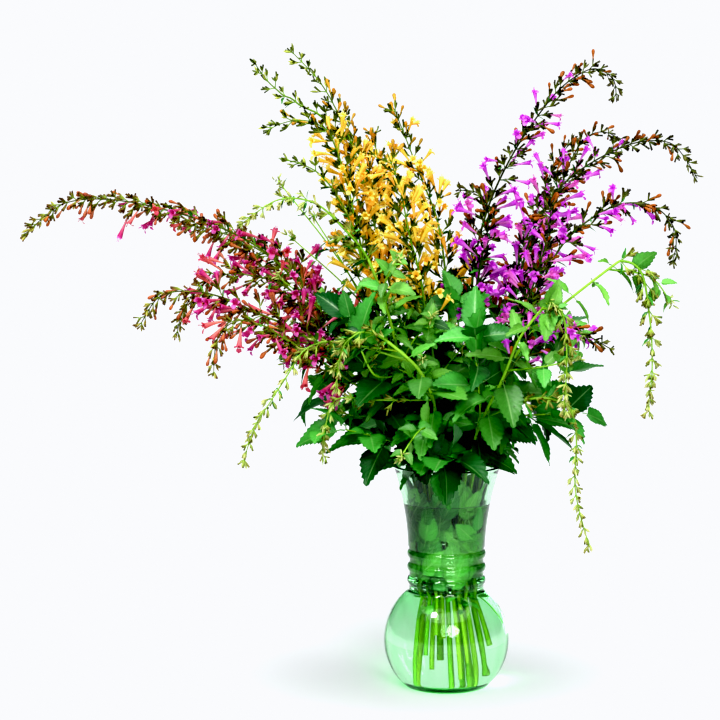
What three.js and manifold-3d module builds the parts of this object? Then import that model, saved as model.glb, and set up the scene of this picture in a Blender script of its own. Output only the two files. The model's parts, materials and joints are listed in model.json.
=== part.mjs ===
// A bouquet of cut agastache (hummingbird mint) standing in a pressed green glass vase.
//
// The vase is one piece of glass: a truncated ball with a flat foot, a neck with three
// rounded rings, and a flared mouth. It holds water up to a little below the mouth.
// Sixteen cut stalks stand in the water. Each runs through its own place in the neck,
// so the stalks fan out above it without crossing, and each ends in a flower spike.
// Side spikes and leafy shoots grow from the stalks, and two leaves lie in the neck.
//
// Millimetres, +Z up. The origin is the middle of the vase's foot, on the surface it
// stands on. +X is to the right of the bouquet's front, and +Y is towards its back.

import * as THREE from "three";
import { mergeVertices } from "three/addons/utils/BufferGeometryUtils.js";
import Module from "manifold-3d";

const wasm = await Module();
wasm.setup();

// ---------------------------------------------------------------- driving dimensions

const MOUTH_HEIGHT = 200;
const MOUTH_RADIUS = 48;
const WALL = 3;
const FLOOR = 7;
const BALL_RADIUS = 56;
const BALL_CENTRE = 42;
const SHOULDER_HEIGHT = 87;
const NECK_RADIUS = 33;
const RING_HEIGHTS = [96, 108, 120];
const RING_RADIUS = 4.6;
const RING_INSET = 2.4;
const FLARE_START = 127;
const LIP_RADIUS = WALL / 2;
const VASE_SIDES = 26;

const WATER_LEVEL = 166;
const GAP = 0.35; // clearance kept between pieces that touch
const SLIVER = 0.02;

const CUT_RADIUS = 1.8; // a stalk's radius at its cut end
const HEAD_RADIUS = 1.4; // and where its spike begins
const SLOT_HEIGHT = 92; // where the stalks pass through the neck
const FOOT_SPREAD = 1.3; // how far the cut ends stand apart, against the places in the neck
const FOOT_SHIFT = 3; // and how far they lie to the right
const MOUTH_SPREAD = 2.15; // how far the stalks stand apart at the mouth
const STALK_SIDES = 6;
const STALK_RINGS = 9;

const SPIKE_SIDES = 6;
const SPIKE_RINGS = 15;
const TWIG_RADIUS = 1.1;
const TIP_RADIUS = 0.9;
const FULLEST = 0.22; // how far along its flowers a spike is widest
const WHORL_DIP = 0.7; // a spike's radius between two whorls, against that at a whorl

const LEAF_THICKNESS = 0.9;
const LEAF_RINGS = 6;
const LEAF_FOLD = 0.18; // how far the blade's halves rise from the midrib, by half width
const LEAF_PAIRS = 4; // on a shoot
const SAME_SHOOT_TOUCH = 25; // mm3 that two leaves of one shoot may share at their roots
const LEAF_TURNS = 12; // ways round its shoot that a leaf may be set to stand clear
const PETIOLE_SHARE = 0.16; // of a leaf's length
const PETIOLE_WIDTH = 1.3;
const LEAF_WIDTH_SHARE = 0.5; // blade width by leaf length

// ------------------------------------------------------------------------- materials

const material = (color, roughness, extra = {}) =>
  new THREE.MeshStandardMaterial({ color, roughness, metalness: 0, ...extra });

const GLASS = material("#4fae7c", 0.08, { transparent: true, opacity: 0.35 });
const WATER = material("#bfe8cf", 0.05, { transparent: true, opacity: 0.3 });
const STALK = material("#5d8f2c", 0.6);
const LEAF = material("#2c7a26", 0.55);
const SPIKE = {
  pink: material("#b8325f", 0.6),
  yellow: material("#e3a02a", 0.6),
  purple: material("#9a3aa8", 0.6),
  green: material("#8aa03a", 0.6),
};
const SPIKE_BODY = { pink: 12, yellow: 13, purple: 12, green: 4 }; // radius at the widest whorl

// ------------------------------------------------------------------------ the stalks
// slot is the place in the neck; cut is the height of the cut end; stem leads up to the
// spike, which carries on along spike.

const STALKS = [
  {
    name: "pink_1", colour: "pink", slot: [-15.2, 0], cut: 9,
    stem: [[-52, 5, 255], [-100, 10, 320]],
    spike: [
      [-128, 8, 356], [-164, 5, 391], [-205, 0, 413], [-253, -5, 428], [-296, -10, 436],
      [-336, -18, 433], [-371, -26, 405],
    ],
  },
  {
    name: "pink_2", colour: "pink", slot: [-11.4, -6.6], cut: 34,
    stem: [[-52, -32, 250], [-102, -52, 302]],
    spike: [
      [-136, -60, 328], [-165, -63, 341], [-192, -67, 354], [-222, -70, 361], [-249, -72, 356],
      [-265, -75, 333],
    ],
  },
  {
    name: "pink_3", colour: "pink", slot: [-11.4, 6.6], cut: 18,
    stem: [[-42, 38, 252], [-84, 65, 309]],
    spike: [[-118, 78, 345], [-160, 86, 379], [-206, 92, 401], [-250, 96, 410]],
  },
  {
    name: "yellow_1", colour: "yellow", slot: [0, 0], cut: 9,
    stem: [[-18, 2, 258], [-42, 0, 329]],
    spike: [
      [-60, 0, 395], [-70, 0, 435], [-82, -2, 478], [-96, -5, 510], [-112, -9, 538],
      [-137, -14, 565],
    ],
  },
  {
    name: "yellow_2", colour: "yellow", slot: [-7.6, 0], cut: 26,
    stem: [[-35, -14, 260], [-60, -28, 332]],
    spike: [[-76, -34, 395], [-94, -40, 470], [-109, -46, 500], [-135, -52, 506], [-158, -60, 497]],
  },
  {
    name: "yellow_3", colour: "green", slot: [-3.8, -6.6], cut: 44,
    stem: [[-34, -46, 264], [-54, -76, 345], [-70, -88, 389]],
    spike: [[-92, -95, 417], [-116, -100, 438], [-145, -105, 441], [-178, -110, 420]],
  },
  {
    name: "yellow_4", colour: "yellow", slot: [3.8, 6.6], cut: 12,
    stem: [[2, 30, 254], [3, 40, 325]],
    spike: [[-1, 43, 372], [-8, 44, 415], [-23, 46, 454], [-47, 46, 515]],
  },
  {
    name: "yellow_5", colour: "yellow", slot: [3.8, -6.6], cut: 20,
    stem: [[-6, -32, 262], [-19, -50, 330]],
    spike: [[-26, -58, 374], [-35, -62, 408], [-43, -64, 447], [-54, -66, 479]],
  },
  {
    name: "yellow_6", colour: "yellow", slot: [-3.8, 9], cut: 30,
    stem: [[-24, 60, 256], [-36, 92, 318]],
    spike: [[-46, 106, 366], [-56, 116, 408], [-70, 124, 452], [-84, 128, 486]],
  },
  {
    name: "purple_1", colour: "purple", slot: [7.6, 0], cut: 9,
    stem: [[16, 8, 256], [21, 14, 328]],
    spike: [
      [24, 14, 377], [35, 12, 425], [53, 10, 467], [75, 8, 503], [102, 4, 536], [127, 0, 550],
      [142, -3, 544], [147, -6, 521],
    ],
  },
  {
    name: "purple_2", colour: "purple", slot: [11.4, 6.6], cut: 23,
    stem: [[31, 28, 254], [52, 45, 316]],
    spike: [
      [65, 50, 358], [82, 52, 413], [107, 54, 448], [140, 55, 471], [172, 55, 484], [203, 54, 483],
      [226, 50, 452],
    ],
  },
  {
    name: "purple_3", colour: "purple", slot: [15.2, 0], cut: 38,
    stem: [[40, -5, 258], [68, -14, 328]],
    spike: [
      [86, -18, 373], [102, -24, 401], [126, -28, 422], [152, -32, 434], [180, -36, 430],
      [196, -41, 408], [193, -44, 384],
    ],
  },
  {
    name: "purple_4", colour: "purple", slot: [5.5, 13.2], cut: 15,
    stem: [[28, 66, 252], [54, 106, 318]],
    spike: [[76, 130, 386], [92, 142, 428], [106, 150, 462], [124, 154, 486]],
  },
  {
    name: "green_1", colour: "green", slot: [-7.6, -13.2], cut: 48,
    stem: [[-12, -70, 250], [-24, -104, 292], [-54, -124, 323]],
    spike: [[-72, -131, 332], [-86, -138, 328], [-95, -142, 308], [-97, -144, 284]],
  },
  {
    name: "green_2", colour: "green", slot: [11.4, -6.6], cut: 14,
    stem: [[40, -40, 262], [68, -70, 323], [108, -90, 362], [141, -100, 389]],
    spike: [[157, -104, 383], [166, -107, 345], [169, -108, 300], [166, -110, 262]],
  },
  {
    name: "green_3", colour: "green", slot: [7.6, -13.2], cut: 30,
    stem: [[28, -72, 250], [41, -102, 284], [61, -134, 337], [79, -146, 360]],
    spike: [[89, -150, 350], [93, -154, 318], [91, -156, 267]],
  },
];

// --------------------------------------------------------------- side spikes and leaves
// from names the stalk or side spike it grows from, and how far along that one, 0 to 1.

const SIDE_SPIKES = [
  {
    name: "pink_side_1", colour: "pink", from: ["pink_1", 0.42],
    route: [[-146, -32, 364], [-183, -38, 373], [-210, -42, 368], [-231, -46, 341], [-237, -48, 315]],
  },
  {
    name: "pink_side_2", colour: "pink", from: ["pink_2", 0.5],
    route: [[-148, -88, 326], [-176, -96, 340], [-197, -100, 326], [-201, -103, 291]],
  },
  {
    name: "yellow_side_1", colour: "yellow", from: ["yellow_1", 0.83],
    route: [[-117, -18, 513], [-140, -24, 524], [-160, -29, 543], [-170, -32, 558]],
  },
  {
    name: "yellow_side_2", colour: "yellow", from: ["yellow_2", 0.62],
    route: [[-94, -66, 438], [-117, -75, 465], [-148, -84, 475]],
  },
  {
    name: "yellow_side_3", colour: "yellow", from: ["yellow_4", 0.5],
    route: [[-24, 76, 344], [-40, 82, 396], [-58, 82, 452], [-66, 80, 500]],
  },
  {
    name: "purple_side_1", colour: "purple", from: ["purple_2", 0.55],
    route: [[90, 84, 394], [106, 94, 439], [121, 98, 477], [143, 100, 494], [164, 101, 484]],
  },
  {
    name: "purple_side_2", colour: "purple", from: ["purple_1", 0.5],
    route: [[30, -20, 392], [35, -30, 424], [24, -38, 444], [3, -44, 445]],
  },
  {
    name: "purple_side_3", colour: "purple", from: ["green_3", 0.6],
    route: [[68, -96, 318], [92, -100, 331], [116, -106, 325], [136, -110, 314]],
  },
  {
    name: "purple_side_4", colour: "purple", from: ["purple_3", 0.5],
    route: [[66, -48, 345], [78, -60, 386], [85, -66, 422], [84, -70, 449]],
  },
  {
    name: "green_side_1", colour: "green", from: ["green_1", 0.72],
    route: [
      [-96, -112, 322], [-122, -118, 318], [-135, -122, 300], [-150, -127, 276], [-166, -132, 252],
      [-176, -134, 217],
    ],
  },
  {
    name: "green_side_2", colour: "green", from: ["green_1", 0.6],
    route: [[-74, -92, 270], [-98, -98, 272], [-107, -100, 246], [-109, -102, 214]],
  },
  {
    name: "green_side_3", colour: "green", from: ["green_3", 0.5],
    route: [[74, -132, 277], [98, -136, 270], [103, -139, 236], [102, -141, 200], [115, -146, 151]],
  },
];

const SHOOTS = [
  { name: "leafy_shoot_1", from: ["pink_2", 0.36], route: [[-72, -68, 238], [-112, -86, 244]], leaf: 46 },
  { name: "leafy_shoot_2", from: ["pink_3", 0.42], route: [[-84, 22, 254], [-122, 48, 258]], leaf: 46 },
  {
    name: "leafy_shoot_3", from: ["yellow_3", 0.52],
    route: [[-66, -104, 292], [-92, -120, 366]],
    leaf: 40,
  },
  { name: "leafy_shoot_4", from: ["green_3", 0.47], route: [[22, -106, 300], [18, -132, 350]], leaf: 44 },
  { name: "leafy_shoot_5", from: ["green_1", 0.42], route: [[-4, -96, 222], [4, -124, 226]], leaf: 48 },
  { name: "leafy_shoot_6", from: ["green_2", 0.42], route: [[74, -46, 250], [116, -62, 254]], leaf: 48 },
  { name: "leafy_shoot_7", from: ["purple_3", 0.42], route: [[80, 16, 262], [116, 32, 290]], leaf: 46 },
  { name: "leafy_shoot_8", from: ["purple_4", 0.4], route: [[20, 86, 240], [40, 124, 250]], leaf: 48 },
  { name: "leafy_shoot_9", from: ["yellow_6", 0.42], route: [[-50, 80, 236], [-88, 104, 248]], leaf: 48 },
  { name: "leafy_shoot_10", from: ["purple_4", 0.52], route: [[88, 92, 300], [116, 110, 338]], leaf: 42 },
  { name: "leafy_shoot_11", from: ["purple_1", 0.42], route: [[10, -10, 316], [2, -24, 364]], leaf: 42 },
  { name: "leafy_shoot_12", from: ["yellow_2", 0.46], route: [[-82, -8, 312], [-108, -2, 330]], leaf: 40 },
];

const NECK_LEAVES = [
  { name: "neck_leaf_1", from: ["green_1", 0.14], heading: [-0.12, -0.2, 1], length: 46 },
  { name: "neck_leaf_2", from: ["green_3", 0.16], heading: [0.22, -0.12, 1], length: 42 },
];

// -------------------------------------------------------------------- solids and meshes

function solidOf(geometry) {
  const bare = geometry.clone();
  bare.deleteAttribute("normal");
  bare.deleteAttribute("uv");
  const merged = mergeVertices(bare, 1e-3);
  return new wasm.Manifold(
    new wasm.Mesh({
      numProp: 3,
      vertProperties: merged.attributes.position.array,
      triVerts: new Uint32Array(merged.index.array),
    }),
  );
}

function meshOf(name, solid, surface) {
  const { numProp, numVert, vertProperties, triVerts } = solid.getMesh();
  const position = new Float32Array(numVert * 3);
  for (let i = 0; i < numVert; i++)
    position.set(vertProperties.subarray(i * numProp, i * numProp + 3), i * 3);
  const geometry = new THREE.BufferGeometry()
    .setAttribute("position", new THREE.BufferAttribute(position, 3))
    .setIndex(new THREE.BufferAttribute(triVerts, 1));
  geometry.computeVertexNormals();
  const mesh = new THREE.Mesh(geometry, surface.clone());
  mesh.name = name;
  return mesh;
}

// The main body of a cut or joined solid, without slivers narrower than SLIVER.
const largestOf = (solid) =>
  solid
    .decompose()
    .sort((a, b) => b.volume() - a.volume())[0]
    .simplify(SLIVER);

// ------------------------------------------------------------------------------- vase

// Points of an arc round (x, z), angles in radians from +X, without its first point.
function arc(x, z, radius, from, to, steps) {
  return Array.from({ length: steps }, (_, i) => {
    const angle = from + ((to - from) * (i + 1)) / steps;
    return new THREE.Vector2(x + radius * Math.cos(angle), z + radius * Math.sin(angle));
  });
}

const flareRadius = (z) => {
  const t = (z - FLARE_START) / (MOUTH_HEIGHT - FLARE_START);
  return NECK_RADIUS + 1.5 + (MOUTH_RADIUS - NECK_RADIUS - 1.5) * t ** 1.75;
};

// Heights up the flare, lowest first.
const flareHeights = (steps, top) =>
  Array.from({ length: steps }, (_, i) => FLARE_START + ((top - FLARE_START) * i) / (steps - 1));

function outerProfile() {
  const low = Math.asin(-BALL_CENTRE / BALL_RADIUS);
  const high = Math.asin((SHOULDER_HEIGHT - BALL_CENTRE) / BALL_RADIUS);
  const ringHalf = Math.acos(RING_INSET / RING_RADIUS);
  const points = [new THREE.Vector2(BALL_RADIUS * Math.cos(low), 0)];
  points.push(...arc(0, BALL_CENTRE, BALL_RADIUS, low, high, 11));
  for (const z of RING_HEIGHTS)
    points.push(...arc(NECK_RADIUS - RING_INSET, z, RING_RADIUS, -ringHalf - 0.1, ringHalf, 4));
  for (const z of flareHeights(6, MOUTH_HEIGHT - LIP_RADIUS))
    points.push(new THREE.Vector2(flareRadius(z), z));
  return points;
}

// The hollow's wall, from the mouth down to the floor.
function innerProfile(inset) {
  const radius = BALL_RADIUS - WALL - inset;
  const neck = NECK_RADIUS - WALL - inset;
  const high = Math.acos(neck / radius);
  const low = Math.asin((FLOOR + inset - BALL_CENTRE) / radius);
  const points = flareHeights(6, MOUTH_HEIGHT - LIP_RADIUS)
    .reverse()
    .map((z) => new THREE.Vector2(Math.max(flareRadius(z) - WALL - inset, neck), z));
  points.push(new THREE.Vector2(neck, BALL_CENTRE + radius * Math.sin(high)));
  points.push(...arc(0, BALL_CENTRE, radius, high, low, 9));
  return points;
}

const onAxis = (z) => new THREE.Vector2(0, z);

function latheSolid(points, sides) {
  return solidOf(new THREE.LatheGeometry(points, sides).rotateX(Math.PI / 2));
}

function vaseSolid() {
  const lip = arc(MOUTH_RADIUS - LIP_RADIUS, MOUTH_HEIGHT - LIP_RADIUS, LIP_RADIUS, 0, Math.PI, 4);
  const walls = [...outerProfile(), ...lip.slice(0, -1), ...innerProfile(0)];
  const profile = [onAxis(0), ...walls, onAxis(FLOOR)];
  return latheSolid(profile, VASE_SIDES);
}

function waterSolid() {
  const wall = innerProfile(GAP).filter((p) => p.y < WATER_LEVEL - 4);
  const edge = new THREE.Vector2(flareRadius(WATER_LEVEL) - WALL - GAP, WATER_LEVEL);
  const profile = [onAxis(WATER_LEVEL), edge, ...wall, onAxis(FLOOR + GAP)].reverse();
  return latheSolid(profile, VASE_SIDES);
}

// ------------------------------------------------------------------- bodies along curves

const FRAME_STEPS = 120;

class Run {
  // A smooth curve through points, with a frame that doesn't twist along it.
  constructor(points) {
    this.curve = new THREE.CatmullRomCurve3(points.map((p) => new THREE.Vector3(...p)));
    this.frames = this.curve.computeFrenetFrames(FRAME_STEPS, false);
    this.points = points;
  }
  // Share of the curve's length at which it passes its point number i.
  shareAt(i) {
    const per = 20;
    const lengths = this.curve.getLengths(per * (this.points.length - 1));
    return lengths[i * per] / lengths[lengths.length - 1];
  }
  // A closed tube from share a to share b, of radiusAt(0 to 1), grown by extra all round.
  tube(a, b, radiusAt, rings, sides, extra = 0) {
    const geometry = new THREE.CylinderGeometry(1, 1, 1, sides, rings);
    const position = geometry.attributes.position;
    for (let i = 0; i < position.count; i++) {
      const t = position.getY(i) + 0.5;
      const share = a + (b - a) * t;
      const frame = Math.round(share * FRAME_STEPS);
      const radius = radiusAt(t) + extra;
      const end = t < 0.001 ? -extra : t > 0.999 ? extra : 0;
      const place = this.curve
        .getPointAt(share)
        .addScaledVector(this.frames.tangents[frame], end)
        .addScaledVector(this.frames.normals[frame], radius * position.getX(i))
        .addScaledVector(this.frames.binormals[frame], -radius * position.getZ(i));
      position.setXYZ(i, place.x, place.y, place.z);
    }
    return solidOf(geometry);
  }
}

const mix = (a, b, t) => a + (b - a) * t;

// A spike's radius along it: a bare twig, then whorls that swell and shrink towards the tip.
const spikeRadius = (body, bare) => (t) => {
  if (t < bare) return TWIG_RADIUS;
  const along = (t - bare) / (1 - bare);
  const whorl = Math.round(t * SPIKE_RINGS) % 2 ? 1 : WHORL_DIP;
  const full = Math.min(along / FULLEST, 1) * (1 - along ** 1.4);
  return mix(TIP_RADIUS, body, full * whorl);
};

// A leaf's outline: half its width at share t of its length.
function leafHalfWidth(t, width) {
  if (t <= PETIOLE_SHARE) return PETIOLE_WIDTH / 2;
  const blade = (t - PETIOLE_SHARE) / (1 - PETIOLE_SHARE);
  return Math.max((width / 2) * Math.sin(Math.PI * blade ** 0.68), 0.5);
}

// A leaf that leaves root along heading, with its upper side towards face, and droops.
function leafSolid({ root, heading, face, length, width, droop, extra = 0 }) {
  const centres = [];
  const at = root.clone();
  const ahead = heading.clone().normalize();
  const up = face.clone();
  for (let i = 0; i <= LEAF_RINGS; i++) {
    up.addScaledVector(ahead, -up.dot(ahead)).normalize();
    centres.push({ at: at.clone(), up: up.clone(), side: ahead.clone().cross(up) });
    at.addScaledVector(ahead, length / LEAF_RINGS);
    ahead.z -= droop / LEAF_RINGS;
    ahead.normalize();
  }
  const geometry = new THREE.CylinderGeometry(1, 1, 1, 4, LEAF_RINGS);
  const position = geometry.attributes.position;
  for (let i = 0; i < position.count; i++) {
    const t = position.getY(i) + 0.5;
    const { at: centre, up: upper, side } = centres[Math.round(t * LEAF_RINGS)];
    const half = leafHalfWidth(t, width) + extra;
    const across = Math.round(position.getX(i)) * half;
    const above = Math.round(position.getZ(i)) * (LEAF_THICKNESS / 2 + extra);
    const place = centre
      .clone()
      .addScaledVector(side, across)
      .addScaledVector(upper, above + Math.abs(across) * LEAF_FOLD);
    position.setXYZ(i, place.x, place.y, place.z);
  }
  const solid = solidOf(geometry);
  if (solid.volume() > 0) return solid;
  return solidOf(flipped(geometry));
}

function flipped(geometry) {
  const index = geometry.index.array;
  for (let i = 0; i < index.length; i += 3) [index[i + 1], index[i + 2]] = [index[i + 2], index[i + 1]];
  return geometry;
}

// ---------------------------------------------------------------------- the whole bouquet

const bouquet = new THREE.Group();
const runs = new Map(); // name -> { run, thick }: its curve, and its solid grown by the gap

const stalkRadius = (t) => mix(CUT_RADIUS, HEAD_RADIUS, t);

function addStalk({ name, colour, slot: [x, y], cut, stem, spike }) {
  const foot = [x * FOOT_SPREAD + FOOT_SHIFT, y * FOOT_SPREAD, cut];
  const mouth = [x * MOUTH_SPREAD, y * MOUTH_SPREAD, MOUTH_HEIGHT];
  const run = new Run([foot, [x, y, SLOT_HEIGHT], mouth, ...stem, ...spike]);
  const head = run.shareAt(stem.length + 2);
  const start = head + 1 / run.curve.getLength();
  const shape = spikeRadius(SPIKE_BODY[colour], 0.02);
  const stemTube = (extra) => run.tube(0, head, stalkRadius, STALK_RINGS, STALK_SIDES, extra);
  const spikeTube = (extra) => run.tube(start, 1, shape, SPIKE_RINGS, SPIKE_SIDES, extra);
  runs.set(name, { run, thick: stemTube(GAP).add(spikeTube(GAP)) });
  bouquet.add(meshOf(`${name}_stem`, stemTube(0), STALK));
  bouquet.add(meshOf(`${name}_spike`, spikeTube(0), SPIKE[colour]));
}

// A side spike starts on its parent's centre line, and is cut back to the parent's surface.
function addSideSpike({ name, colour, from: [parent, share], route }) {
  const { run: stalk, thick } = runs.get(parent);
  const run = new Run([stalk.curve.getPointAt(share).toArray(), ...route]);
  const shape = spikeRadius(SPIKE_BODY[colour] * 0.8, run.shareAt(1));
  const tube = (extra) => run.tube(0, 1, shape, SPIKE_RINGS, SPIKE_SIDES, extra);
  runs.set(name, { run, thick: tube(GAP) });
  bouquet.add(meshOf(name, largestOf(tube(0).subtract(thick)), SPIKE[colour]));
}

// Each leaf is turned about its shoot until it stands clear of the rest of the bouquet.
function addShoot({ name, from: [parent, share], route, leaf }) {
  const { run: stalk, thick } = runs.get(parent);
  const run = new Run([stalk.curve.getPointAt(share).toArray(), ...route]);
  const twig = run.tube(0, 1, (t) => mix(TWIG_RADIUS, TIP_RADIUS, t), 5, 5);
  const others = [...runs.values()].map((r) => r.thick);
  const leaves = [];
  const spaces = [];
  for (let pair = 0; pair < LEAF_PAIRS; pair++) {
    const rank = pair / (LEAF_PAIRS - 1);
    const at = mix(0.4, 0.98, rank);
    for (const half of [0, Math.PI]) {
      for (let turn = 0; turn < LEAF_TURNS; turn++) {
        const angle = half + pair * (Math.PI / 2) + turn * (Math.PI / 5);
        const blade = shootLeaf(run, at, angle, leaf * mix(1, 0.7, rank), 0);
        const space = shootLeaf(run, at, angle, leaf * mix(1, 0.7, rank), GAP);
        if (others.some((other) => !other.intersect(space).isEmpty())) continue;
        if (leaves.some((other) => other.intersect(blade).volume() > SAME_SHOOT_TOUCH)) continue;
        leaves.push(blade);
        spaces.push(space);
        break;
      }
    }
  }
  runs.set(name, { run, thick: wasm.Manifold.union([twig, ...spaces]) });
  const solid = wasm.Manifold.union([twig, ...leaves]).subtract(thick);
  bouquet.add(meshOf(name, largestOf(solid), LEAF));
}

function shootLeaf(run, at, angle, length, extra) {
  const frame = Math.round(at * FRAME_STEPS);
  const along = run.frames.tangents[frame];
  const heading = run.frames.normals[frame]
    .clone()
    .multiplyScalar(Math.cos(angle))
    .addScaledVector(run.frames.binormals[frame], Math.sin(angle))
    .addScaledVector(along, 0.7);
  return leafSolid({
    root: run.curve.getPointAt(at),
    heading,
    face: along.clone(),
    length,
    width: length * LEAF_WIDTH_SHARE,
    droop: 0.9,
    extra,
  });
}

// A leaf that stands along the inside of the neck.
function neckLeaf({ from: [parent, share], heading, length }, extra) {
  const root = runs.get(parent).run.curve.getPointAt(share);
  return leafSolid({
    root,
    heading: new THREE.Vector3(...heading),
    face: new THREE.Vector3(root.x, root.y, 0).normalize(),
    length,
    width: length * LEAF_WIDTH_SHARE,
    droop: 0,
    extra,
  });
}

bouquet.add(meshOf("glass_vase", vaseSolid(), GLASS));
const filledVase = [onAxis(0), ...outerProfile(), onAxis(MOUTH_HEIGHT + GAP)];
runs.set("glass_vase", { thick: latheSolid(filledVase, VASE_SIDES) });
STALKS.forEach(addStalk);
SIDE_SPIKES.forEach(addSideSpike);
SHOOTS.forEach(addShoot);

let water = waterSolid();
for (const { name } of STALKS) water = water.subtract(runs.get(name).thick);
for (const leaf of NECK_LEAVES) {
  const solid = neckLeaf(leaf, 0).subtract(runs.get(leaf.from[0]).thick);
  bouquet.add(meshOf(leaf.name, largestOf(solid), LEAF));
  water = water.subtract(neckLeaf(leaf, GAP));
}
bouquet.add(meshOf("water", largestOf(water), WATER));

export default bouquet;
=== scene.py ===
"""The looks of a bouquet of cut agastache in a green pressed-glass vase.

The CAD model gives the vase's size, the middle line of every stalk and flower spike, and
the leaves of the leafy shoots. Here each becomes the real thing: square mint stalks,
toothed leaves, and whorls of calyxes, club buds and two-lipped tubular flowers. The other
leaves and the young shoots are set by chance. Metres, +Z up.
"""

import heapq
import json
import math

import bpy
import numpy as np
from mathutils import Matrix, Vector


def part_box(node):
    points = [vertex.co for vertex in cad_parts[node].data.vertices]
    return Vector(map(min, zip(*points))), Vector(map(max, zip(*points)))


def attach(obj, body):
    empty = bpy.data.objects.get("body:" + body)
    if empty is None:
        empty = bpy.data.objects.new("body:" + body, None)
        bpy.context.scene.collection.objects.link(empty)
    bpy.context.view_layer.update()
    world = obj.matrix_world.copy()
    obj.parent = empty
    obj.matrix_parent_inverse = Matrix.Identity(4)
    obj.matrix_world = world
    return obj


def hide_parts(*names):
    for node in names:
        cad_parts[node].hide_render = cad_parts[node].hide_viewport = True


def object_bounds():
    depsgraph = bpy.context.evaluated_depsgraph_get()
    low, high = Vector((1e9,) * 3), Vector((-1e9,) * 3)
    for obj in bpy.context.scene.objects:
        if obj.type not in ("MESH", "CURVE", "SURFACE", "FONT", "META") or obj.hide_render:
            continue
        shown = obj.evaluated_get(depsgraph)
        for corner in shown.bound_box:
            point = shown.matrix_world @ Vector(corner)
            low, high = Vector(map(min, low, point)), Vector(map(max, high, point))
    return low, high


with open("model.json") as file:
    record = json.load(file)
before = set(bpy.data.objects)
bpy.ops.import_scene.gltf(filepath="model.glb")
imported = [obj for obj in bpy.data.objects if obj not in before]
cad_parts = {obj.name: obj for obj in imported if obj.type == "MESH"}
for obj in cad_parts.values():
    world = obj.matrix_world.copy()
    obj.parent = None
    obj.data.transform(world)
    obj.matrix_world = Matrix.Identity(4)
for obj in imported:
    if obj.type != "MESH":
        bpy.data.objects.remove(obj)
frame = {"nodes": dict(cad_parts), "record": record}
cad_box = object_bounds()
INSIDE = np.array([list(corner) for corner in cad_box])  # where leaves and shoots may reach
rng = np.random.default_rng(17)

MM = 0.001
UP = np.array([0.0, 0.0, 1.0])
CAD_SIDES = 6  # corners round a CAD stalk or spike

# The vase's outline in millimetres, as the CAD model has it, but with round turnings and
# with soft upright waves in its ball.
MOUTH_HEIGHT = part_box("glass_vase")[1].z / MM
BALL_RADIUS = 56
BALL_CENTRE = 42
SHOULDER_HEIGHT = 87
NECK_RADIUS = 33
RING_HEIGHTS = (96, 108, 120)
RING_RADIUS = 4.6
RING_INSET = 2.4
FLARE_START = 127
MOUTH_RADIUS = 48
WALL = 3
FLOOR = 7
OPTIC_RIBS = 18
OPTIC_DEPTH = 0.28
VASE_SIDES = 120
WATER_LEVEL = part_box("water")[1].z / MM
WATER_GAP = 0.12  # between the water and the glass
GLASS_IOR = 1.5
WATER_IOR = 1.33


# ---- small helpers


def unit(v):
    return v / max(np.linalg.norm(v), 1e-9)


def mix(a, b, t):
    return a + (b - a) * t


def across_from(direction, hint=UP):
    """The part of hint that is square to direction."""
    square = hint - direction * np.dot(hint, direction)
    if np.linalg.norm(square) < 1e-3:
        square = np.cross(direction, (1.0, 0.0, 0.0))
    return unit(square)


def scatter(amount):
    return rng.normal(0, amount, 3)


def any_of(shapes):
    return shapes[rng.integers(len(shapes))]


def round_axis(side, other, angle):
    """The direction at an angle round an axis, from two directions square to it."""
    return side * math.cos(angle) + other * math.sin(angle)


def put_in_scene(made):
    bpy.context.scene.collection.objects.link(made)


def linear(hex_colour):
    """An sRGB hex colour as linear RGBA."""
    shares = [int(hex_colour[i : i + 2], 16) / 255 for i in (1, 3, 5)]
    return (*(c / 12.92 if c <= 0.04045 else ((c + 0.055) / 1.055) ** 2.4 for c in shares), 1.0)


# ---- middle lines


class Run:
    """A smooth line through points, with a frame along it that doesn't twist."""

    def __init__(self, points, step=2.5 * MM):
        points = np.array(points, float)
        ends = np.vstack([2 * points[0] - points[1], points, 2 * points[-1] - points[-2]])
        smooth = []
        for i in range(len(points) - 1):
            a, b, c, d = ends[i : i + 4]
            count = max(int(np.linalg.norm(c - b) / step), 1)
            for t in np.arange(count) / count:
                second = (2 * a - 5 * b + 4 * c - d) * t**2
                third = (3 * b - a - 3 * c + d) * t**3
                smooth.append(0.5 * (2 * b + (c - a) * t + second + third))
        smooth.append(points[-1])
        self.points = np.array(smooth)
        gaps = np.linalg.norm(np.diff(self.points, axis=0), axis=1)
        self.reach = np.concatenate([[0], np.cumsum(gaps)])
        self.length = self.reach[-1]
        tangents = np.gradient(self.points, axis=0)
        self.tangents = tangents / np.linalg.norm(tangents, axis=1)[:, None]
        side = across_from(self.tangents[0], np.array([0.3, -1.0, 0.1]))
        sides = []
        for tangent in self.tangents:
            side = across_from(tangent, side)
            sides.append(side)
        self.sides = np.array(sides)

    def at(self, distance):
        """Place, direction and two square directions at a distance along the line."""
        i = min(int(np.searchsorted(self.reach, distance)), len(self.points) - 1)
        place = np.array([np.interp(distance, self.reach, self.points[:, k]) for k in range(3)])
        return place, self.tangents[i], self.sides[i], np.cross(self.tangents[i], self.sides[i])


def welded(node):
    """A CAD node's corners, each once, and the corners next to each."""
    mesh = frame["nodes"][node].data
    corners = np.array([v.co for v in mesh.vertices])
    points, number = np.unique(corners.round(6), axis=0, return_inverse=True)
    number = number.reshape(-1)
    beside = [set() for _ in points]
    for edge in mesh.edges:
        a, b = number[edge.vertices[0]], number[edge.vertices[1]]
        if a != b:
            beside[a].add(b)
            beside[b].add(a)
    return points, beside


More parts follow.
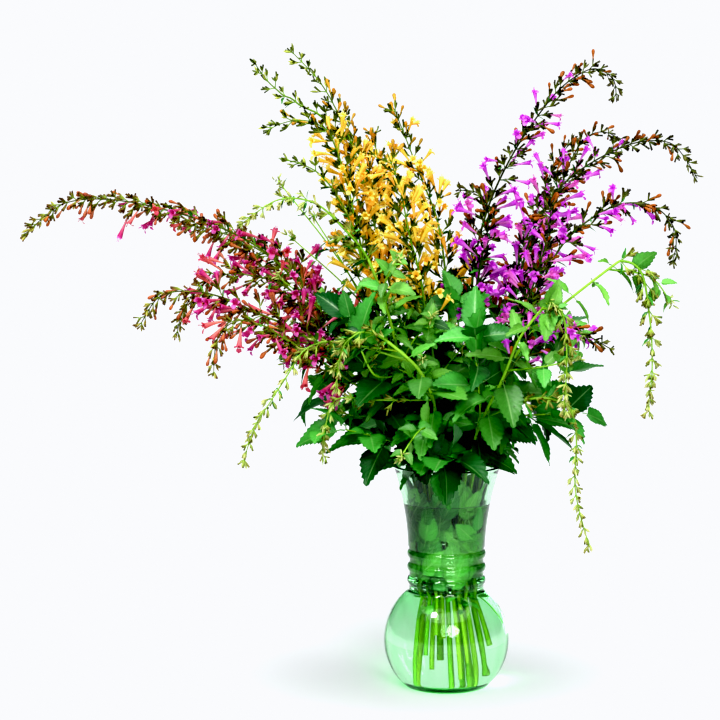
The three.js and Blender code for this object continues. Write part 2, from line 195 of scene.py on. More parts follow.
def walk(points, beside, start):
    """How far each corner is from start along the surface, and the corner before it."""
    far = np.full(len(points), np.inf)
    before = np.full(len(points), -1)
    far[start] = 0
    queue = [(0.0, start)]
    while queue:
        so_far, here = heapq.heappop(queue)
        if so_far > far[here]:
            continue
        for there in beside[here]:
            step = so_far + np.linalg.norm(points[there] - points[here])
            if step < far[there]:
                far[there] = step
                before[there] = here
                heapq.heappush(queue, (step, there))
    return far, before


def middle_line(node, start):
    """The middle of a long CAD solid, ring by ring, from the end that is nearer start."""
    points, beside = welded(node)
    far, _ = walk(points, beside, int(np.argmin(np.linalg.norm(points - start, axis=1))))
    order = np.argsort(-far)[1:]
    rings = [points[order[i : i + CAD_SIDES]] for i in range(0, len(order), CAD_SIDES)]
    line = [ring.mean(axis=0) for ring in rings if len(ring) == CAD_SIDES]
    return line[::-1]


SAME_TIP = 4 * MM  # far corners nearer one another than this are one leaf's tip
SHORTEST_LEAF = 12 * MM


def leaf_lines(node, start):
    """The twig of a CAD shoot, and (root, tip) of each leaf on it."""
    points, beside = welded(node)
    far, before = walk(points, beside, int(np.argmin(np.linalg.norm(points - start, axis=1))))
    tips = []
    for i in np.argsort(-far):
        is_end = all(far[i] >= far[j] for j in beside[i])
        if is_end and all(np.linalg.norm(points[i] - points[j]) > SAME_TIP for j in tips):
            tips.append(int(i))
    trails = []
    uses = np.zeros(len(points), int)
    for tip in tips:
        trail = [tip]
        while before[trail[-1]] >= 0:
            trail.append(int(before[trail[-1]]))
        trails.append(trail)
        uses[trail] += 1
    leaves = []
    twig = []
    for trail in trails:
        own = [i for i in trail if uses[i] == 1]
        shared = [i for i in trail if uses[i] > 1]
        root, tip = points[own[-1]], points[own[0]]
        if np.linalg.norm(tip - root) > SHORTEST_LEAF:
            leaves.append((root, tip))
        if len(shared) > len(twig):
            twig = shared
    return points[twig[::-1]], leaves


# ---- shapes made of sheets


class Shape:
    """Corners, four-sided faces, and a tone for each corner: how far along the piece it
    lies, how far across, and how open or old it is."""

    def __init__(self, corners, faces, along, across=None):
        self.corners = np.asarray(corners, float)
        self.faces = np.asarray(faces, int)
        self.along = np.asarray(along, float)
        self.across = np.zeros(len(along)) if across is None else np.asarray(across, float)


def grid_faces(rows, columns, closed=False):
    faces = []
    for i in range(rows - 1):
        for j in range(columns if closed else columns - 1):
            k = (j + 1) % columns
            faces.append((i * columns + j, i * columns + k, (i + 1) * columns + k, (i + 1) * columns + j))
    return faces


def joined(shapes):
    offset = 0
    faces = []
    for shape in shapes:
        faces.append(shape.faces + offset)
        offset += len(shape.corners)
    return Shape(
        np.vstack([s.corners for s in shapes]),
        np.vstack(faces),
        np.concatenate([s.along for s in shapes]),
        np.concatenate([s.across for s in shapes]),
    )


def swept(points, radii, sides, squareness=0.0, along=None):
    """A tube through points. Squareness presses it towards a square section."""
    points = np.array(points, float)
    tangents = np.gradient(points, axis=0)
    side = across_from(unit(tangents[0]), np.array([0.31, -0.9, 0.2]))
    corners = []
    angles = np.arange(sides) * 2 * math.pi / sides
    bulge = 1 + squareness * np.cos(4 * angles)
    for point, tangent, radius in zip(points, tangents, radii):
        direction = unit(tangent)
        side = across_from(direction, side)
        other = np.cross(direction, side)
        ring = np.outer(np.cos(angles) * bulge, side) + np.outer(np.sin(angles) * bulge, other)
        corners.append(point + ring * radius)
    if along is None:
        along = np.linspace(0, 1, len(points))
    return Shape(
        np.vstack(corners),
        grid_faces(len(points), sides, closed=True),
        np.repeat(along, sides),
    )


def calyx_shape(bend):
    """A ribbed tube with small teeth, 9 mm long, pointing along +Z."""
    heights = np.array([0, 0.9, 4.2, 7.9]) * MM
    radii = np.array([0.3, 0.62, 0.9, 1.02]) * MM
    middle = [(0, bend * (h / (8 * MM)) ** 2 * MM, h) for h in heights]
    shape = swept(middle, radii, 8)
    rim = slice(-8, None)
    teeth = np.arange(8) % 2 == 0
    shape.corners[rim][teeth] += (0, 0, 1.1 * MM)
    shape.corners[rim, :2] *= np.where(teeth, 1.12, 1.0)[:, None]
    return shape


def lobe_shape(angle, width, length, flare, curl, throat, start_height):
    """A rounded petal lobe that leaves the throat's rim at an angle round it."""
    rows, columns = 4, 4
    corners = []
    for i in range(rows):
        t = i / (rows - 1)
        half = width * math.sqrt(max(1 - (t * 0.96) ** 3.0, 0.0)) * (1 + 0.35 * t)
        lean = flare + curl * t
        out = throat + length * t * math.sin(lean)
        height = start_height + length * t * math.cos(lean)
        for j in range(columns):
            s = (j / (columns - 1) - 0.5) * 2
            sway = half * s
            turn = angle + sway / throat * (1 - t) * 0.9
            spread = sway * t * 0.9
            corners.append(
                (
                    out * math.cos(turn) - spread * math.sin(angle),
                    out * math.sin(turn) + spread * math.cos(angle),
                    height - abs(s) * t * 0.25 * length,
                )
            )
    along = np.repeat(np.linspace(0.72, 1.0, rows), columns)
    return Shape(corners, grid_faces(rows, columns), along)


# Each lobe's place round the throat in degrees, half width and length in millimetres, and
# how far it leans out at its root and more at its tip.
LOBES = (
    (64, 1.35, 2.9, 0.0, 0.3),
    (116, 1.35, 2.9, 0.0, 0.3),
    (8, 1.2, 2.5, 0.3, 0.8),
    (172, 1.2, 2.5, 0.3, 0.8),
    (270, 1.9, 4.2, 0.25, 1.0),
)


def open_flower(bend, gape):
    """A tubular flower 26 mm long: a slender tube that widens like a trumpet, two lobes
    above, two at the sides, a longer lower lip, and stamens that stand out of it."""
    heights = np.array([2, 7, 12, 17, 20.5, 22.5]) * MM
    radii = np.array([0.55, 0.7, 1.05, 1.65, 2.2, 2.45]) * MM
    middle = [(0, bend * (h / (22 * MM)) ** 2 * 4 * MM, h) for h in heights]
    tube = swept(middle, radii, 10, along=np.linspace(0, 0.72, len(heights)))
    shapes = [tube]
    for angle, width, length, flare, curl in LOBES:
        lobe = lobe_shape(
            math.radians(angle), width * MM, length * MM, flare * gape, curl * gape, 2.4 * MM, 22.3 * MM
        )
        lobe.corners[:, 1] += middle[-1][1]
        shapes.append(lobe)
    for x in (-0.7, 0.6):
        line = [(x * MM, middle[-1][1] + 0.9 * MM, h * MM) for h in (19, 24, 27.5)]
        shapes.append(swept(line, np.array([0.16, 0.14, 0.34]) * MM, 3, along=[0.75, 0.85, 1.0]))
    return joined(shapes)


def club_bud(bend):
    """A closed flower: a thin neck and a rounded head, 16 mm long."""
    heights = np.array([3, 8, 11, 13.6, 15.4, 16.1]) * MM
    radii = np.array([0.45, 0.7, 1.25, 1.75, 1.3, 0.25]) * MM
    middle = [(0, bend * (h / (16 * MM)) ** 2 * 3 * MM, h) for h in heights]
    return swept(middle, radii, 7)


def young_bud(fat):
    """A young calyx still closed over its flower, 5.5 mm long."""
    heights = np.array([0, 0.8, 3.4, 5.6]) * MM
    radii = np.array([0.2, 0.6, 0.85, 0.12]) * fat * MM
    return swept([(0, 0, h) for h in heights], radii, 6)


PETIOLE = 0.2  # a leaf stalk's share of the leaf's length
TOOTH = 0.015  # how far a leaf's teeth stand out, as a share of its length


def leaf_shape(teeth, droop, fold, wave, broad, columns=7):
    """A toothed mint leaf of unit length that lies along +X with its upper side to +Z:
    a stalk, a broad blunt base, coarse teeth and a pointed tip."""
    rows = teeth * 2 + 3
    corners, along, across = [], [], []
    for i in range(rows):
        t = i / (rows - 1)
        half = broad * 2.55 * t**0.42 * (1 - t) ** 0.92
        tooth = (TOOTH if i % 2 else -TOOTH) * (1 if 1 < i < rows - 1 else 0)
        for j in range(columns):
            s = (j / (columns - 1) - 0.5) * 2
            edge = abs(s) ** 3
            y = s * half + math.copysign(edge, s) * tooth
            back = 0.05 * abs(s) ** 2 * (1 - t) ** 6
            x = PETIOLE + (1 - PETIOLE) * t - back + tooth * edge * 0.9
            z = fold * abs(s) * half + wave * math.sin(t * 9 + s * 2) * abs(s) * (1 - t * 0.5)
            z -= droop * (x - PETIOLE) ** 2
            corners.append((x, y, z))
            along.append(t)
            across.append(abs(s))
    blade = Shape(corners, grid_faces(rows, columns), along, across)
    steps = np.linspace(0, PETIOLE + 0.02, 4)
    line = [(x, 0, 0.12 * droop * math.sin(x / PETIOLE * math.pi)) for x in steps]
    petiole = swept(line, np.array([0.016, 0.013, 0.013, 0.012]), 5, along=np.zeros(4))
    return joined([petiole, blade])


CALYXES = [calyx_shape(b) for b in (-0.8, 0.0, 1.2)]
FLOWERS = [open_flower(b, g) for b, g in ((-1.0, 0.8), (-0.5, 1.0), (0.3, 1.15), (-1.6, 1.0))]
CLUBS = [club_bud(b) for b in (-1.0, 0.4, -0.2)]
YOUNG_BUDS = [young_bud(f) for f in (0.85, 1.1)]
LEAVES = [
    leaf_shape(8, 0.10, 0.30, 0.020, 0.24),
    leaf_shape(9, 0.32, 0.42, 0.025, 0.26),
    leaf_shape(7, 0.20, 0.20, 0.035, 0.28),
    leaf_shape(8, 0.45, 0.55, 0.020, 0.22),
    leaf_shape(9, 0.05, 0.25, 0.030, 0.27),
]
YOUNG_LEAVES = [leaf_shape(5, 0.15, 0.35, 0.03, 0.22, 5), leaf_shape(5, 0.4, 0.25, 0.02, 0.26, 5)]
LANCE = leaf_shape(4, 0.35, 0.45, 0.025, 0.13, 5)
BRACT = leaf_shape(2, 0.30, 0.40, 0.020, 0.13, 3)

LIT_BY_KEY = bpy.data.collections.new("lit_by_key")  # all that the key lamp shines on


class Sprig:
    """Gathers many shapes into one piece."""

    def __init__(self):
        self.parts = []

    def add(self, shape, finish, place=None, axes=None, size=1.0, age=0.0):
        """Puts a copy of shape at place. The columns of axes are its own X, Y and Z."""
        corners = shape.corners * size
        if axes is not None:
            corners = corners @ axes.T
        if place is not None:
            corners = corners + place
        tone = np.column_stack(
            [shape.along, shape.across, np.full(len(corners), rng.random()), np.full(len(corners), age)]
        )
        self.parts.append((corners, shape.faces, tone, finish))

    def point(self, shape, finish, place, direction, hint=UP, size=1.0, age=0.0):
        """Puts a copy of shape at place with its +Z along direction and its +Y towards hint."""
        above = across_from(direction, hint)
        axes = np.column_stack([np.cross(above, direction), above, direction])
        self.add(shape, finish, place, axes, size, age)

    def made(self, name, finishes, slot, replaces=()):
        """The mesh object of everything gathered."""
        counts = [len(corners) for corners, _, _, _ in self.parts]
        starts = np.concatenate([[0], np.cumsum(counts)[:-1]])
        corners = np.vstack([part[0] for part in self.parts])
        faces = np.vstack([part[1] + start for part, start in zip(self.parts, starts)])
        tones = np.vstack([part[2] for part in self.parts])
        finish_numbers = np.concatenate(
            [np.full(len(part[1]), finishes.index(part[3])) for part in self.parts]
        )
        mesh = bpy.data.meshes.new(name)
        mesh.vertices.add(len(corners))
        mesh.vertices.foreach_set("co", corners.ravel())
        mesh.loops.add(faces.size)
        mesh.loops.foreach_set("vertex_index", faces.ravel())
        mesh.polygons.add(len(faces))
        mesh.polygons.foreach_set("loop_start", np.arange(len(faces)) * 4)
        mesh.polygons.foreach_set("loop_total", np.full(len(faces), 4))
        mesh.polygons.foreach_set("material_index", finish_numbers)
        mesh.update(calc_edges=True)
        mesh.polygons.foreach_set("use_smooth", np.ones(len(faces), bool))
        tone = mesh.attributes.new("tone", "FLOAT_COLOR", "POINT")
        tone.data.foreach_set("color", tones.ravel())
        for finish in finishes:
            mesh.materials.append(finish)
        piece = bpy.data.objects.new(name, mesh)
        put_in_scene(piece)
        LIT_BY_KEY.objects.link(piece)
        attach(piece, "root")
        if replaces:
            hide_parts(*replaces)


# ---- finishes


def finish(name):
    """A new material with an empty node tree, and its output node."""
    material = bpy.data.materials.new(name)
    material.use_nodes = True
    tree = material.node_tree
    tree.nodes.clear()
    return material, tree, tree.nodes.new("ShaderNodeOutputMaterial")


def node(tree, kind, settings=None, **inputs):
    """Adds a node. Settings are its properties; inputs are values or other nodes' outputs,
    named by socket with _ for a space, or in0, in1 and so on by number."""
    made = tree.nodes.new(kind)
    for key, value in (settings or {}).items():
        setattr(made, key, value)
    for key, value in inputs.items():
        numbered = key.startswith("in") and key[2:].isdigit()
        socket = made.inputs[int(key[2:])] if numbered else made.inputs[key.replace("_", " ")]
        if isinstance(value, bpy.types.NodeSocket):
            tree.links.new(value, socket)
        else:
            socket.default_value = value
    return made


def calculated(tree, operation, *values):
    inputs = {f"in{i}": value for i, value in enumerate(values)}
    return node(tree, "ShaderNodeMath", {"operation": operation}, **inputs).outputs[0]


def rescaled(tree, value, low, high, at_low=0.0, at_high=1.0):
    """Value stretched so that low becomes at_low and high becomes at_high, held at both."""
    ends = dict(From_Min=low, From_Max=high, To_Min=at_low, To_Max=at_high)
    return node(tree, "ShaderNodeMapRange", Value=value, **ends).outputs[0]


def blend_shaders(tree, share, a, b):
    return node(tree, "ShaderNodeMixShader", in0=share, in1=a, in2=b).outputs[0]


def blend_colours(tree, share, a, b, mode="MIX"):
    kind = {"data_type": "RGBA", "blend_type": mode}
    return node(tree, "ShaderNodeMix", kind, in0=share, in6=a, in7=b).outputs[2]


def ramp(tree, share, stops):
    """Colours along share, from (position, hex colour) stops."""
    made = node(tree, "ShaderNodeValToRGB", Fac=share)
    elements = made.color_ramp.elements
    while len(elements) < len(stops):
        elements.new(0.5)
    for element, (position, colour) in zip(elements, stops):
        element.position = position
        element.color = linear(colour)
    return made.outputs["Color"]


def tone_of(tree):
    """The tone's parts: along, across, chance and age."""
    tone = node(tree, "ShaderNodeAttribute", {"attribute_name": "tone"})
    parts = node(tree, "ShaderNodeSeparateColor", Color=tone.outputs["Color"]).outputs
    return parts[0], parts[1], parts[2], tone.outputs["Alpha"]


WHITE = linear("#ffffff")
MOTTLING = 0.35  # how strongly tissue is mottled
RELIEF = 0.3 * MM  # how high the bumps of tissue are at full strength


def live_tissue(name, colour_from, roughness, through, bump, grain, shine=0.35):
    """Thin living tissue: satin, slightly uneven, and letting some light through.
    colour_from(tree) gives its colour and relief; through is the share of light that
    passes, and grain the size of its mottling."""
    material, tree, output = finish(name)
    colour, relief = colour_from(tree)
    place = node(tree, "ShaderNodeTexCoord").outputs["Object"]
    noise = node(tree, "ShaderNodeTexNoise", Vector=place, Scale=1 / grain, Detail=2.0).outputs["Fac"]
    spots = ramp(tree, noise, ((0.3, "#c8c8c8"), (0.7, "#ffffff")))
    mottled = blend_colours(tree, MOTTLING, colour, spots, "MULTIPLY")
    height = relief if relief is not None else noise
    normal = node(tree, "ShaderNodeBump", Strength=bump, Distance=RELIEF, Height=height).outputs[0]
    skin = node(
        tree,
        "ShaderNodeBsdfPrincipled",
        Base_Color=mottled,
        Roughness=roughness,
        Specular_IOR_Level=shine,
        Normal=normal,
    )
    passing = node(tree, "ShaderNodeBsdfTranslucent", Color=mottled)
    both = blend_shaders(tree, through, skin.outputs[0], passing.outputs[0])
    tree.links.new(both, output.inputs["Surface"])
    return material


def petal(name, tube, lobes, warm):
    """A fresh corolla: paler in the tube, strong in the lobes, each flower a little
    different and some of them warmer."""

    def colour(tree):
        along, _, chance, _ = tone_of(tree)
        fresh = ramp(tree, along, ((0.1, tube[0]), (0.55, tube[1]), (0.75, lobes[0]), (1.0, lobes[1])))
        warmer = ramp(tree, along, ((0.1, warm[0]), (1.0, warm[1])))
        return blend_colours(tree, rescaled(tree, chance, 0.66, 0.9), fresh, warmer), None

    return live_tissue(name, colour, roughness=0.5, through=0.35, bump=0.15, grain=0.9 * MM)


def graded(name, stops, other_stops, through=0.1):
    """Green or woody tissue that changes from base to tip, each piece between two sets of
    colours."""

    def colour(tree):
        along, _, chance, _ = tone_of(tree)
        return blend_colours(tree, chance, ramp(tree, along, stops), ramp(tree, along, other_stops)), None

    return live_tissue(name, colour, roughness=0.55, through=through, bump=0.2, grain=0.6 * MM)


VEIN_SLANT = -0.32  # how far a side vein runs back from the margin to the midrib
VEIN_PAIRS = 7.0
SIDE_VEIN = 0.22  # a side vein's strength against the midrib's
VEIN_SHOWS = 0.28
# how strongly a leaf's margin is darkened, as painted shade for the gaps between leaves
EDGE_SHADE_SHOWS = 0.55


def leaf_blade(name, dark, bright, young, vein):
    """A mint leaf's blade: deep green and a little glossy, with a pale midrib, sunken side
    veins and a quilted surface between them. Its margin is darkened: painted shade for the gaps between
    leaves."""

    def colour(tree):
        along, across, chance, age = tone_of(tree)
        slant = calculated(tree, "MULTIPLY_ADD", across, VEIN_SLANT, along)
        wave = calculated(tree, "PINGPONG", calculated(tree, "MULTIPLY", slant, VEIN_PAIRS), 0.5)
        side_vein = rescaled(tree, wave, 0.0, 0.07, 1.0, 0.0)
        midrib = rescaled(tree, across, 0.01, 0.09, 1.0, 0.0)
        body = blend_colours(tree, chance, linear(dark), linear(bright))
        aged = blend_colours(tree, age, body, linear(young))
        veins = calculated(tree, "MAXIMUM", calculated(tree, "MULTIPLY", side_vein, SIDE_VEIN), midrib)
        # painted shade: the margin turns towards the dark green, standing in for the shade between
        # overlapping leaves
        edge_shade = rescaled(tree, across, 0.8, 1.0, 0.0, EDGE_SHADE_SHOWS)
        edge_shaded = blend_colours(tree, edge_shade, aged, linear(dark))
        shown = calculated(tree, "MULTIPLY", veins, VEIN_SHOWS)
        return blend_colours(tree, shown, edge_shaded, linear(vein)), wave

    return live_tissue(name, colour, roughness=0.42, through=0.07, bump=0.6, grain=2.2 * MM, shine=0.42)


PETALS = {
    "pink": petal(
        "pink_petal", ("#eca0a8", "#cc5088"), ("#cc549c", "#e894d4"), ("#f4a08c", "#c8506c")
    ),
    "yellow": petal(
        "yellow_petal", ("#f8dc78", "#fad866"), ("#ffee80", "#fff6a4"), ("#fccc72", "#fcca60")
    ),
    "purple": petal(
        "purple_petal", ("#f4bcf0", "#dc6ce4"), ("#dc58e4", "#f29cf8"), ("#f8b8e4", "#ea70d4")
    ),
}
CLUB_FINISH = {
    "pink": graded(
        "orange_bud",
        ((0, "#c89060"), (0.6, "#b86c36"), (1, "#984c22")),
        ((0, "#bc8870"), (1, "#a0503a")),
    ),
    "yellow": graded(
        "amber_bud",
        ((0, "#d8bc58"), (0.6, "#d8a03c"), (1, "#b06e30")),
        ((0, "#b8a050"), (1, "#a88434")),
    ),
    "purple": graded(
        "brown_bud",
        ((0, "#98703c"), (0.6, "#845228"), (1, "#60381a")),
        ((0, "#b87c44"), (1, "#a85e2a")),
    ),
}
CALYX_FINISH = {
    "pink": graded(
        "rusty_calyx",
        ((0, "#9cc450"), (0.6, "#6c7c3a"), (1, "#4c3426")),
        ((0, "#aac854"), (1, "#7c5034")),
    ),
    "yellow": graded(
        "olive_calyx",
        ((0, "#7c983a"), (0.6, "#4c5e26"), (1, "#2a3018")),
        ((0, "#98ac48"), (1, "#5c6c2c")),
    ),
    "purple": graded(
        "dusky_calyx",
        ((0, "#84a044"), (0.5, "#3c4a24"), (1, "#261c1e")),
        ((0, "#9cb450"), (1, "#504a2c")),
    ),
    "green": graded(
        "pale_calyx",
        ((0, "#b4dc64"), (0.6, "#a4c058"), (1, "#3c4c22")),
        ((0, "#c4dc84"), (1, "#94884c")),
    ),
}
TIP_FINISH = {
    "pink": graded(
        "pink_tip_bud",
        ((0, "#8c9c40"), (1, "#c4c070")),
        ((0, "#687430"), (1, "#8a6a34")),
    ),
    "yellow": graded(
        "yellow_tip_bud",
        ((0, "#94b044"), (1, "#ccd070")),
        ((0, "#7c983c"), (1, "#3c4a20")),
    ),
    "purple": graded(
        "purple_tip_bud",
        ((0, "#5c6c30"), (1, "#8a8c50")),
        ((0, "#3e4624"), (1, "#4c3c24")),
    ),
    "green": graded(
        "green_tip_bud",
        ((0, "#98bc4c"), (1, "#d0d898")),
        ((0, "#88a844"), (1, "#b8b080")),
    ),
}
STALK = graded(
    "mint_stalk",
    ((0, "#98b43c"), (0.4, "#86bf3e"), (1, "#9ccc50")),
    ((0, "#6ca432"), (1, "#a8d45c")),
    through=0.05,
)
SPIKE_AXIS = {
    "pink": graded(
        "rusty_axis",
        ((0, "#8ab040"), (0.5, "#5a6a2c"), (1, "#4a4424")),
        ((0, "#9cc04c"), (1, "#5c5c2c")),
    ),
    "yellow": graded(
        "olive_axis",
        ((0, "#8cba40"), (1, "#7c9a38")),
        ((0, "#7cac3c"), (1, "#4c6a28")),
    ),
    "purple": graded(
        "dusky_axis",
        ((0, "#6c8c38"), (0.4, "#3a4024"), (1, "#2e2c20")),
        ((0, "#6a8a34"), (1, "#40402a")),
    ),
    "green": graded(
        "green_axis",
        ((0, "#86b844"), (1, "#94bc4c")),
        ((0, "#78a83c"), (1, "#9cb85c")),
    ),
}
LEAF = leaf_blade("mint_leaf", "#22522c", "#60b054", "#8cc45c", "#b8dc98")


def clear_body(name, ior, where_wet, tint, density):
    """A clear material that lets lamps shine through. It bends light where its tone says
    it is dry, and is like where_wet elsewhere; the tint deepens with thickness."""
    material, tree, output = finish(name)
    wet = tone_of(tree)[1]
    dry_side = node(tree, "ShaderNodeBsdfGlass", Color=WHITE, Roughness=0.0, IOR=ior)
    body = blend_shaders(tree, wet, dry_side.outputs[0], where_wet(tree).outputs[0])
    clear = node(tree, "ShaderNodeBsdfTransparent", Color=WHITE)
    shadow = node(tree, "ShaderNodeLightPath").outputs["Is Shadow Ray"]
    volume = node(tree, "ShaderNodeVolumeAbsorption", Color=tint, Density=density)
    tree.links.new(blend_shaders(tree, shadow, body, clear.outputs[0]), output.inputs["Surface"])
    tree.links.new(volume.outputs[0], output.inputs["Volume"])
    return material


def green_glass():
    """Pressed soda-lime glass tinted green: bright and clear at its surface, with the tint
    deepening where it is thick. Against water it hardly shines."""

    def against_water(tree):
        return node(tree, "ShaderNodeBsdfGlass", Color=WHITE, Roughness=0.0, IOR=GLASS_IOR / WATER_IOR)

    return clear_body("green_pressed_glass", GLASS_IOR, against_water, (0.27, 0.9, 0.38, 1.0), 88.0)


def still_water():
    """Clean water. It shows at its top; where it touches the glass, the glass does it all."""

    def against_glass(tree):
        return node(tree, "ShaderNodeBsdfTransparent", Color=WHITE)

    return clear_body("still_water", WATER_IOR, against_glass, (0.4, 0.95, 0.5, 1.0), 2.5)


# ---- vase


def arc(x, z, radius, start, end, steps):
    """Points of an arc round (x, z), without its first."""
    angles = start + (end - start) * (np.arange(steps) + 1) / steps
    return [(x + radius * math.cos(a), z + radius * math.sin(a)) for a in angles]


def flare_radius(z):
    t = (z - FLARE_START) / (MOUTH_HEIGHT - FLARE_START)
    return NECK_RADIUS + 1.5 + (MOUTH_RADIUS - NECK_RADIUS - 1.5) * max(t, 0) ** 1.75


def outer_outline():
    low = math.asin(-BALL_CENTRE / BALL_RADIUS)
    high = math.asin((SHOULDER_HEIGHT - BALL_CENTRE) / BALL_RADIUS)
    half = math.acos(RING_INSET / RING_RADIUS)
    foot = BALL_RADIUS * math.cos(low)
    points = [(0.01, 1.2), (foot * 0.5, 1.0), (foot - 6, 0.6)]
    points += [(foot - 3.5, 0.02), (foot - 0.6, 0.02), (foot + 0.3, 0.5)]
    points += arc(0, BALL_CENTRE, BALL_RADIUS, low + 0.02, high, 34)
    for z in RING_HEIGHTS:
        points += arc(NECK_RADIUS - RING_INSET, z, RING_RADIUS, -half - 0.1, half, 10)
    for z in np.linspace(FLARE_START, MOUTH_HEIGHT - WALL / 2, 16):
        points.append((flare_radius(z), z))
    points += arc(MOUTH_RADIUS - WALL / 2, MOUTH_HEIGHT - WALL / 2, WALL / 2, 0, math.pi, 8)
    return points


def inner_outline(inset):
    """The hollow's wall, from the mouth down to the middle of the floor."""
    radius = BALL_RADIUS - WALL - inset
    neck = NECK_RADIUS - WALL - inset
    high = math.acos(neck / radius)
    low = math.asin((FLOOR + inset - BALL_CENTRE) / radius)
    heights = np.linspace(MOUTH_HEIGHT - WALL, FLARE_START - 6, 20)
    points = [(max(flare_radius(z) - WALL - inset, neck), z) for z in heights]
    points.append((neck, BALL_CENTRE + radius * math.sin(high)))
    points += arc(0, BALL_CENTRE, radius, high, low, 32)
    edge = points[-1][0]
    points += [(edge * 0.6, FLOOR + inset), (0.01, FLOOR + inset)]
    return points


def turned(outline, rib_depth=0.0, is_wet=None):
    """A closed shape turned round the vase's axis. Ribs wave the ball; is_wet says of each
    height whether glass and water touch there."""
    angles = np.arange(VASE_SIDES) * 2 * math.pi / VASE_SIDES
    corners = []
    for x, z in outline:
        ball = max(0.0, 1 - abs(z - BALL_CENTRE) / (SHOULDER_HEIGHT - BALL_CENTRE))
        radius = x + rib_depth * min(ball * 2, 1) * np.cos(angles * OPTIC_RIBS) * min(x / 30, 1)
        level = np.full(VASE_SIDES, z)
        corners.append(np.column_stack([radius * np.cos(angles), radius * np.sin(angles), level]))
    rows = len(outline)
    wet = [float(is_wet(z)) if is_wet else 0.0 for _, z in outline]
    faces = grid_faces(rows, VASE_SIDES, closed=True)
    return Shape(np.vstack(corners) * MM, faces, np.zeros(rows * VASE_SIDES), np.repeat(wet, VASE_SIDES))


def make_vase():
    """The glass, in one skin inside and out, and the water in it."""
    glass = green_glass()
    inner = inner_outline(0)
    for above in (0.4, -0.2):
        below_water = next(i for i, p in enumerate(inner) if p[1] < WATER_LEVEL)
        inner.insert(below_water, water_edge(above))
    outer = outer_outline()
    outside = turned(outer, -OPTIC_DEPTH / 2)
    inside = turned(inner, OPTIC_DEPTH, lambda z: z < WATER_LEVEL)
    both = joined([outside, inside])
    last = (len(outer) - 1) * VASE_SIDES
    bridge = []
    for j in range(VASE_SIDES):
        k = (j + 1) % VASE_SIDES
        bridge.append((last + j, last + k, last + VASE_SIDES + k, last + VASE_SIDES + j))
    both.faces = np.vstack([both.faces, bridge])
    vase = Sprig()
    vase.add(both, glass)
    vase.made("vase", [glass], "glass", ["glass_vase"])

    water = still_water()
    edge = water_edge(0)[0]
    surface = [(0.01, WATER_LEVEL), (20, WATER_LEVEL), (edge - 2, WATER_LEVEL)]
    surface += [(edge - 0.8, WATER_LEVEL + 0.25), (edge - WATER_GAP, WATER_LEVEL + 0.9)]
    wall = [p for p in inner_outline(WATER_GAP) if p[1] < WATER_LEVEL - 1]
    top = turned(surface[::-1])
    side = turned([surface[-1], *wall][::-1], OPTIC_DEPTH, lambda z: True)
    fill = Sprig()
    fill.add(joined([side, top]), water)
    fill.made("water_fill", [water], "water", ["water"])


def water_edge(above):
    """Where the glass's inner wall meets the water, or a height above it."""
    z = WATER_LEVEL + above
    return flare_radius(z) - WALL, z


# ---- leaves and twigs


OUTWARD_FACE = 0.8  # how far leaves turn their faces out of the bouquet, towards the light


def add_leaf(sprig, root, tip, variant=None, face=UP, age=0.0):
    """A leaf from root to tip, with its upper side towards face."""
    reach = np.clip(tip, *INSIDE) - root
    length = np.linalg.norm(reach)
    direction = reach / length
    outward = unit(root * (1, 1, 0)) * OUTWARD_FACE
    above = across_from(direction, unit(face + outward + scatter(0.25)))
    axes = np.column_stack([direction, np.cross(above, direction), above])
    shape = variant or any_of(LEAVES)
    sprig.add(shape, LEAF, root, axes, length, age)


SQUARENESS = 0.12


def stem_tube(run, base, tip, step=4 * MM, sides=8):
    """A stalk along a run, square like every mint's, from its base radius to its tip's."""
    distances = np.arange(0, run.length, step)
    points = [run.at(d)[0] for d in distances] + [run.at(run.length)[0]]
    radii = np.linspace(base, tip, len(points))
    return swept(points, radii, sides, squareness=SQUARENESS)


# ---- flower spikes

# How each kind of spike carries its flowers, from its base to its tip. Gaps are between
# whorls and branches are the lengths of a whorl's side branches, in millimetres; heads are
# the flowers on each branch. The shares of heads that are open flowers and club buds hold
# as far up as opened; hang is how far the heads nod, and size the size of an open flower.
HABITS = {
    "pink": dict(
        gaps=(11, 6.5), branches=(31, 5), heads=(15, 4), flowers=0.1, clubs=0.1, opened=0.7,
        lean=50, hang=0.5, size=1.12,
    ),
    "yellow": dict(
        gaps=(11, 9), branches=(22, 8), heads=(9.5, 5.2), flowers=0.25, clubs=0.06, opened=0.85,
        lean=48, hang=-0.2, size=1.15,
    ),
    "purple": dict(
        gaps=(12, 6.5), branches=(24, 4.5), heads=(12, 3.8), flowers=0.11, clubs=0.11, opened=0.7,
        lean=48, hang=0.05, size=1.1,
    ),
    "green": dict(
        gaps=(15, 6), branches=(15, 4), heads=(8, 5), flowers=0.0, clubs=0.0, opened=0.3,
        lean=46, hang=0.55, size=1.0,
    ),
}
# The share of its length up to which a spike that is late has opened.
LATE = {"yellow_1": 0.6, "yellow_2": 0.66, "yellow_side_1": 0.0, "yellow_side_2": 0.1}
FADE = 0.16  # share of a spike over which flowers give way to buds
CLUBS_ABOVE = 0.16  # how much further up club buds go than open flowers
BRACTED = 0.7  # share of a spike that may have a leafy bract under each branch
BRACT_LENGTH = (15, 6)  # millimetres, from a spike's base to its tip
BRANCH_RADII = np.array([0.5, 0.42, 0.3]) * MM


